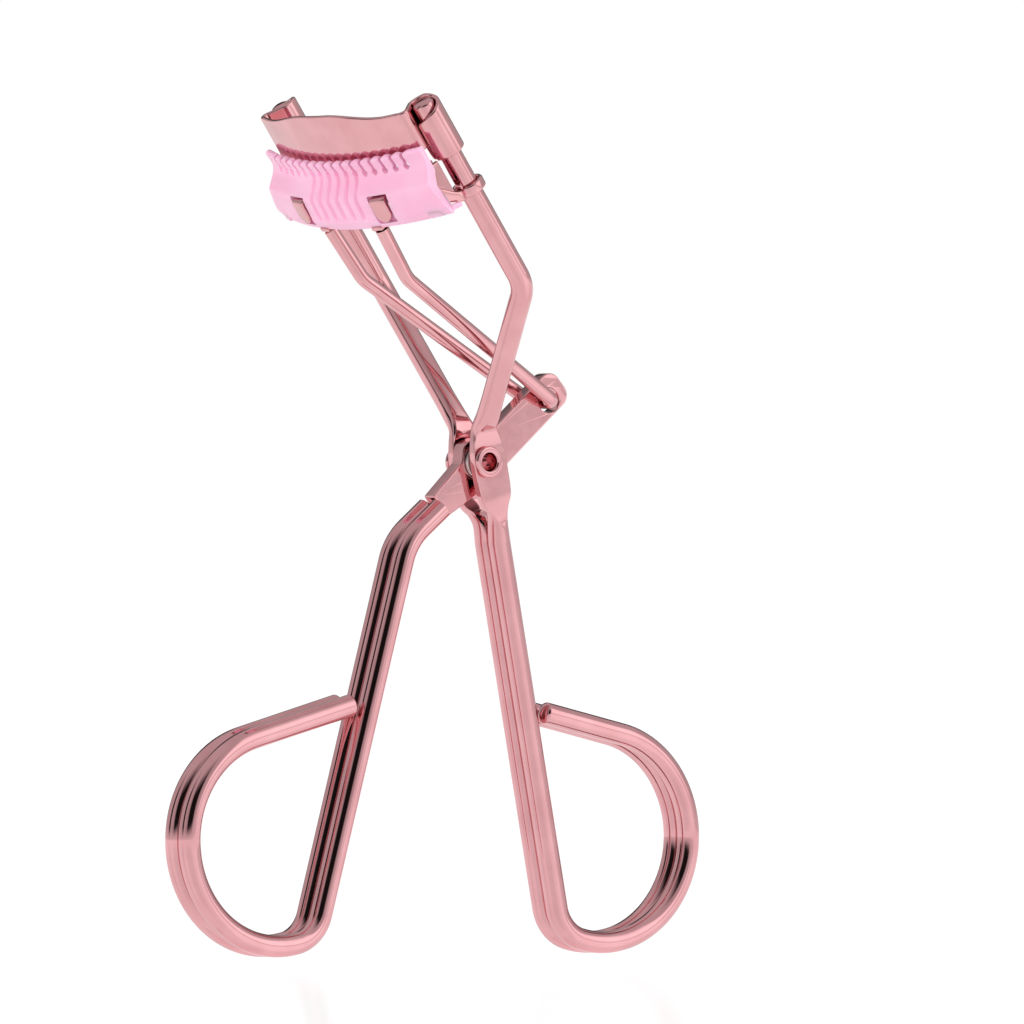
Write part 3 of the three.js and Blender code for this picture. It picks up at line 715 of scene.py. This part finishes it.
def tab(side):
    """A tongue that comes out of the tray's wall, through the comb, and bends down over it."""
    middle = TRAY_OUTER_RADIUS - TRAY_WALL / 2
    outside = TAB_OUTER_RADIUS - TRAY_WALL / 2
    top = TAB_TOP - TRAY_WALL / 2
    corners = [Vector(p) for p in ((middle, TRAY_OUTER_TOP - 0.5), (middle, top), (outside, top),
                                   (outside - 0.05, TAB_BOTTOM))]
    path = [corners[0], *rounded_corner(*corners[:3], 0.4, 0.3), *rounded_corner(*corners[1:], 0.45, 0.3)]
    path = spaced([*path, corners[3]], 0.18)
    angle = math.asin(side * TAB_AT / TAB_OUTER_RADIUS)
    sideways = Vector((math.cos(angle), -math.sin(angle)))
    outwards = Vector((math.sin(angle), math.cos(angle)))
    half = TRAY_WALL / 2
    rings = []
    last = len(path) - 1
    for i, point in enumerate(path):
        along = (path[min(i + 1, last)] - path[max(i - 1, 0)]).normalized()
        square = Vector((-along.y, along.x))
        to_tip = point.y - TAB_BOTTOM if i > last / 2 else 9
        reach = TAB_HALF_WIDTH
        if to_tip < TAB_HALF_WIDTH:
            reach = math.sqrt(max(TAB_HALF_WIDTH ** 2 - (TAB_HALF_WIDTH - to_tip) ** 2, 0.02))
        ring = []
        for u, v in section(reach, half, half * 0.85):
            flat = point + square * v
            where = Vector((0, JAW_CENTRE)) + sideways * u + outwards * flat.x
            ring.append(jaw_point(where.x, where.y, flat.y))
        rings.append(ring)
    return skin("tab", rings)


def link_foot(side):
    across = side * LINK_TOP["across"]
    heel = curved_block("foot", across, 0.95, 47.6, TRAY_OUTER_RADIUS - 0.1, FOOT_BOTTOM, TRAY_FLOOR - 0.1)
    toe = curved_block("foot", across, 0.95, 49, 51.45, FOOT_BOTTOM, FOOT_BOTTOM + 0.6)
    return [soften(heel, 0.15), soften(toe, 0.2)]


def lower_jaw():
    inner, outer = TRAY_INNER_RADIUS, TRAY_OUTER_RADIUS
    outline = rounded_outline([
        (inner, TRAY_BOTTOM, 0.4), (inner, TRAY_INNER_TOP, 0.25), (inner + TRAY_WALL, TRAY_INNER_TOP, 0.25),
        (inner + TRAY_WALL, TRAY_FLOOR, 0.15), (outer - TRAY_WALL, TRAY_FLOOR, 0.15),
        (outer - TRAY_WALL, TRAY_OUTER_TOP, 0.25), (outer, TRAY_OUTER_TOP, 0.25), (outer, TRAY_BOTTOM, 0.4),
    ], 0.3)
    tray = curved_bar("tray", outline, TRAY_HALF_WIDTH)
    carved(tray, [post_cylinder(side, POST_RELIEF_RADIUS, -7, 4) for side in (-1, 1)])
    pieces = [tray]
    for side in (-1, 1):
        pieces += tray_end(side) + [tab(side)] + link_foot(side)
    obj = joined("lower_jaw_tray", pieces)
    return finish_piece(obj, "sliding_jaw", ROSE_GOLD, ["lower_jaw"], 50)


def silicone_pad():
    crown = (PAD_INNER_RADIUS + PAD_OUTER_RADIUS) / 2
    outline = rounded_outline([
        (PAD_INNER_RADIUS, PAD_BOTTOM, 0.3), (PAD_INNER_RADIUS, PAD_SHOULDER, 0.8),
        (crown - 0.9, PAD_TOP, 0.8), (crown + 0.9, PAD_TOP, 0.8),
        (PAD_OUTER_RADIUS, PAD_SHOULDER, 0.8), (PAD_OUTER_RADIUS, PAD_BOTTOM, 0.3),
    ], 0.2)
    obj = curved_bar("pad_moulded", outline, PAD_HALF_WIDTH)
    carved(obj, [post_cylinder(side, POST_RELIEF_RADIUS + 0.15, -7, 4) for side in (-1, 1)])
    soften(obj, 0.12, 50)
    return finish_piece(obj, "sliding_jaw", PAD_PINK, ["silicone_pad"])


def smooth_step(low, high, value):
    t = min(1, max(0, (value - low) / (high - low)))
    return t * t * (3 - 2 * t)


def comb_wall():
    """The comb's curved wall: scalloped rim, waist, belly and fluted middle."""
    outline = rounded_outline([
        (48.75, COMB_TOP, 0.35), (49.7, COMB_TOP, 0.4), (49.3, 1.3, 2.2), (51.45, -0.9, 1.2),
        (51.6, -4.2, 1.2), (51.1, COMB_BOTTOM, 0.35), (50.6, COMB_BOTTOM, 0.15),
        (50.35, -1.75, 0.7), (48.75, -0.1, 0.8),
    ], 0.12)
    outline = spaced([*outline, outline[0]], 0.28)[:-1]
    reach = math.asin(COMB_HALF_WIDTH / 50)
    rings = []
    for k in range(COMB_STEPS + 1):
        share = 2 * k / COMB_STEPS - 1
        ring = []
        for r, z in outline:
            end = smooth_step(0.9, 1, abs(share)) * smooth_step(-0.4, -4.2, z) * 0.02
            angle = share * (reach + end)
            place = 49.4 * angle / SLIT_PITCH + (COMB_SLITS - 1) / 2
            to_slit = abs(place - round(place))
            in_row = -0.6 < place < COMB_SLITS - 0.4
            height = z
            if z > COMB_TOP - 0.5 and in_row:
                height -= 0.22 * smooth_step(0.5, 0.0, to_slit) * (z - COMB_TOP + 0.5) / 0.5
            is_fluted = (COMB_SLITS - COMB_GROOVES) / 2 - 0.5 < place < (COMB_SLITS + COMB_GROOVES) / 2 - 0.5
            radius = r
            if is_fluted and r > 49.2 and -4.2 < z < 2.4:
                fade = smooth_step(-4.2, -3.4, z) * smooth_step(2.4, 1.4, z)
                radius -= 0.55 * fade * smooth_step(0.26, 0.04, to_slit)
            ring.append(jaw_point(radius * math.sin(angle), JAW_CENTRE + radius * math.cos(angle), height))
        rings.append(ring)
    return skin("comb", rings)


def slit_cutter(across):
    """A keyhole-shaped slit, square to the curve."""
    angle = across / 49.4
    sideways = Vector((math.cos(angle), -math.sin(angle)))
    outwards = Vector((math.sin(angle), math.cos(angle)))
    foot = COMB_TOP - SLIT_DEPTH
    half = SLIT_WIDTH / 2
    open_angle = math.asin(half / KEYHOLE_RADIUS)
    bulb_start = math.pi / 2 - open_angle
    bulb_end = math.pi / 2 + open_angle - 2 * math.pi
    bulb = arc((0, foot), KEYHOLE_RADIUS, bulb_start, bulb_end, 0.35)
    outline = [*bulb, Vector((-half, COMB_TOP + 1)), Vector((half, COMB_TOP + 1))]
    rings = []
    for radius in (47.5, 51):
        centre = Vector((0, JAW_CENTRE)) + outwards * radius
        rings.append([jaw_point(*(centre + sideways * p.x), p.y) for p in outline])
    return skin("cutter", rings)


def comb_tongue(side):
    """The pointed tongue at the comb's lower corner, which curls back towards the post."""
    corners = [Vector((side * x, y, z)) for x, y, z in (
        (15.4, 6.6, -4.75), (17.15, 5.95, -4.8), (17.1, 3.2, -5.6))]
    path = [corners[0], *rounded_corner(*corners, 0.9, 0.2), corners[2]]
    path = spaced(path, 0.3)
    rows = []
    for k, point in enumerate(path):
        share = k / (len(path) - 1)
        height = 0.62 - 0.3 * smooth_step(0.3, 1, share)
        rows.append([*jaw_point(*point), 0.34, height, 0.25])
    up = jaw_point(0, 0, 1) - jaw_point(0, 0, 0)
    return wire("tongue", rows, reference=tuple(up))


def lash_comb():
    wall = comb_wall()
    slits = [slit_cutter((k - (COMB_SLITS - 1) / 2) * SLIT_PITCH) for k in range(COMB_SLITS)]
    windows = []
    for side in (-1, 1):
        across = side * TAB_AT
        windows.append(curved_block("cutter", across, TAB_HALF_WIDTH + 0.3, 50.75, 53,
                                    TAB_BOTTOM - 0.3, TAB_TOP + 0.3))
        windows.append(curved_block("cutter", across, TAB_HALF_WIDTH + 0.29, 48, 52.9,
                                    TAB_TOP - 0.85, TAB_TOP + 0.29))
    carved(wall, slits + windows)
    obj = joined("comb_moulded", [wall, comb_tongue(-1), comb_tongue(1)])
    return finish_piece(obj, "sliding_jaw", COMB_PINK, ["lash_comb"], 38)


def link_wire():
    angle = math.asin(LINK_TOP["across"] / LINK_TOP["radius"])
    forwards = JAW_CENTRE + LINK_TOP["radius"] * math.cos(angle)
    heel = LINK_HOLE + Vector((-math.cos(POST_LEAN), 0, -math.sin(POST_LEAN))) * LINK_PLAY

    def at(side, point):
        return Vector((point.x, side * point.y, point.z))

    tops = {side: jaw_point(side * LINK_TOP["across"], forwards, LINK_TOP["height"]) for side in (-1, 1)}
    knees = {side: at(side, LINK_KNEE) for side in (-1, 1)}
    heels = {side: Vector((heel.x, side * LINK_HALF_WIDTH, heel.z)) for side in (-1, 1)}
    path = [
        tops[-1], *rounded_corner(tops[-1], knees[-1], heels[-1], 4),
        *rounded_corner(knees[-1], heels[-1], heels[1], 1.3, 0.1),
        *rounded_corner(heels[-1], heels[1], knees[1], 1.3, 0.1),
        *rounded_corner(heels[1], knees[1], tops[1], 4), tops[1],
    ]
    obj = wire("link_bent", round_rows(spaced(path, 1.2), LINK_RADIUS), round_start=False, round_end=False)
    return finish_piece(obj, "sliding_jaw", ROSE_GOLD, ["link_wire"])


# ---------------------------------------------------------------- stage


VIEW_AZIMUTH = math.radians(35)
VIEW_RISE = 0.0
VIEW_DISTANCE = 3.0
FRAME_WIDTH = 0.128
AIM_RIGHT = 0.00475
AIM_DOWN = 0.00625
LOOK_AHEAD = Vector((math.sin(VIEW_AZIMUTH), math.cos(VIEW_AZIMUTH), 0))
LOOK_RIGHT = Vector((math.cos(VIEW_AZIMUTH), -math.sin(VIEW_AZIMUTH), 0))


def add_camera():
    aim = PIVOT + LOOK_RIGHT * AIM_RIGHT - Vector((0, 0, AIM_DOWN))
    towards = LOOK_AHEAD * math.cos(VIEW_RISE) - Vector((0, 0, math.sin(VIEW_RISE)))
    data = bpy.data.cameras.new("camera")
    data.sensor_width = 36
    data.lens = 36 * VIEW_DISTANCE / FRAME_WIDTH
    data.clip_start = 0.01
    data.clip_end = 50
    camera = bpy.data.objects.new("camera", data)
    camera.location = aim - towards * VIEW_DISTANCE
    camera.rotation_euler = towards.to_track_quat("-Z", "Y").to_euler()
    bpy.context.scene.collection.objects.link(camera)
    bpy.context.scene.camera = camera


# Brightness round the studio, as (turn from straight behind the tool, grey). Turns run to the left.
STUDIO_BANDS = (
    (0.00, 0.40), (0.015, 0.40), (0.028, 0.04), (0.075, 0.04), (0.10, 0.52), (0.245, 0.62), (0.265, 0.02),
    (0.30, 0.02), (0.32, 0.62), (0.40, 0.45), (0.425, 0.01), (0.545, 0.01), (0.57, 0.50), (0.63, 0.62),
    (0.65, 1.45), (0.74, 1.45), (0.77, 0.65), (0.92, 0.50), (0.945, 0.04), (0.97, 0.04), (0.985, 0.40),
    (1.00, 0.40),
)
OVERHEAD = 0.62
NEAR_FLOOR = 0.8
FLOOR_HALF = 12
FLOOR_GAP = 0.0002
FLOOR_SHEEN = 0.3
FLOOR_WHITE = 1.295


def studio_bands(nodes, links, direction):
    """Pale screens with dark gaps between them, fixed in place round the tool."""
    turn = nodes.new("ShaderNodeMapping")
    turn.vector_type = "TEXTURE"
    turn.inputs["Rotation"].default_value = (0, 0, -math.pi / 2 - VIEW_AZIMUTH)
    links.new(direction, turn.inputs["Vector"])
    round_about = nodes.new("ShaderNodeTexGradient")
    round_about.gradient_type = "RADIAL"
    links.new(turn.outputs["Vector"], round_about.inputs["Vector"])
    bands = nodes.new("ShaderNodeValToRGB")
    ramp = bands.color_ramp
    for k, (at, grey) in enumerate(STUDIO_BANDS):
        element = ramp.elements[k] if k < 2 else ramp.elements.new(at)
        element.position = at
        element.color = (grey, grey, grey, 1)
    links.new(round_about.outputs["Fac"], bands.inputs["Fac"])
    return bands.outputs["Color"]


def add_floor():
    """A plain pale floor with a slight sheen, the same to the camera and in reflections."""
    mesh = bpy.data.meshes.new("floor")
    corners = [(x * FLOOR_HALF, y * FLOOR_HALF, 0) for x, y in ((-1, -1), (1, -1), (1, 1), (-1, 1))]
    mesh.from_pydata(corners, [], [(0, 1, 2, 3)])
    floor = bpy.data.objects.new("floor", mesh)
    floor.location.z = -FLOOR_GAP
    bpy.context.scene.collection.objects.link(floor)
    material = bpy.data.materials.new("floor_pale")
    material.use_nodes = True
    nodes, links = material.node_tree.nodes, material.node_tree.links
    nodes.clear()
    white = nodes.new("ShaderNodeEmission")
    white.inputs["Strength"].default_value = FLOOR_WHITE
    gloss = nodes.new("ShaderNodeBsdfGlossy")
    gloss.inputs["Roughness"].default_value = 0.06
    sheen = nodes.new("ShaderNodeMixShader")
    sheen.inputs["Fac"].default_value = FLOOR_SHEEN
    out = nodes.new("ShaderNodeOutputMaterial")
    links.new(white.outputs["Emission"], sheen.inputs[1])
    links.new(gloss.outputs["BSDF"], sheen.inputs[2])
    links.new(sheen.outputs["Shader"], out.inputs["Surface"])
    mesh.materials.append(material)


def add_world():
    """A white backdrop; the light comes from the screens round the tool and a soft ceiling."""
    world = bpy.data.worlds.new("studio")
    bpy.context.scene.world = world
    world.use_nodes = True
    nodes, links = world.node_tree.nodes, world.node_tree.links
    nodes.clear()
    where = nodes.new("ShaderNodeTexCoord")
    split = nodes.new("ShaderNodeSeparateXYZ")
    links.new(where.outputs["Generated"], split.inputs["Vector"])
    overhead = nodes.new("ShaderNodeMapRange")
    overhead.interpolation_type = "SMOOTHSTEP"
    overhead.inputs["From Min"].default_value = 0.5
    overhead.inputs["From Max"].default_value = 0.9
    links.new(split.outputs["Z"], overhead.inputs["Value"])
    screens = nodes.new("ShaderNodeMix")
    screens.data_type = "RGBA"
    screens.inputs["B"].default_value = (OVERHEAD, OVERHEAD, OVERHEAD, 1)
    links.new(overhead.outputs["Result"], screens.inputs["Factor"])
    above_floor = nodes.new("ShaderNodeMapRange")
    above_floor.interpolation_type = "SMOOTHSTEP"
    above_floor.inputs["From Max"].default_value = 0.16
    links.new(split.outputs["Z"], above_floor.inputs["Value"])
    raised = nodes.new("ShaderNodeMix")
    raised.data_type = "RGBA"
    raised.inputs["A"].default_value = (NEAR_FLOOR, NEAR_FLOOR, NEAR_FLOOR, 1)
    links.new(above_floor.outputs["Result"], raised.inputs["Factor"])
    links.new(studio_bands(nodes, links, where.outputs["Generated"]), raised.inputs["B"])
    links.new(raised.outputs["Result"], screens.inputs["A"])

    studio = nodes.new("ShaderNodeBackground")
    links.new(screens.outputs["Result"], studio.inputs["Color"])
    white = nodes.new("ShaderNodeBackground")
    white.inputs["Color"].default_value = (1, 1, 1, 1)
    path = nodes.new("ShaderNodeLightPath")
    mix = nodes.new("ShaderNodeMixShader")
    out = nodes.new("ShaderNodeOutputWorld")
    links.new(path.outputs["Is Camera Ray"], mix.inputs["Fac"])
    links.new(studio.outputs["Background"], mix.inputs[1])
    links.new(white.outputs["Background"], mix.inputs[2])
    links.new(mix.outputs["Shader"], out.inputs["Surface"])


def add_light(name, azimuth, height, distance, size, power):
    """A soft lamp: azimuth in degrees to the right of straight behind the camera."""
    angle = math.radians(azimuth)
    side = -LOOK_AHEAD * math.cos(angle) + LOOK_RIGHT * math.sin(angle)
    data = bpy.data.lights.new(name, "AREA")
    data.energy = power
    data.size = size
    lamp = bpy.data.objects.new(name, data)
    lamp.visible_glossy = False
    lamp.location = PIVOT + side * distance + Vector((0, 0, height))
    lamp.rotation_euler = (PIVOT - lamp.location).to_track_quat("-Z", "Y").to_euler()
    bpy.context.scene.collection.objects.link(lamp)


def add_stage():
    add_camera()
    add_floor()
    add_world()
    add_light("key_left", -50, 0.7, 0.8, 0.5, 4)
    add_light("comb_light", -25, -0.02, 0.8, 0.3, 1.2)
    add_light("fill_right", 65, 0.4, 0.9, 0.6, 4)
    bpy.context.scene.view_settings.view_transform = "Standard"


# ---------------------------------------------------------------- the tool

add_stage()
for near_or_far, which in (("near", -1), ("far", 1)):
    frame_wire(f"frame_wire_{near_or_far}", which)
    lever_wire(f"lever_wire_{near_or_far}", which)
    washer(f"washer_{near_or_far}", which)
lever_plate()
pivot_rivet()
upper_jaw()
lower_jaw()
silicone_pad()
lash_comb()
link_wire()
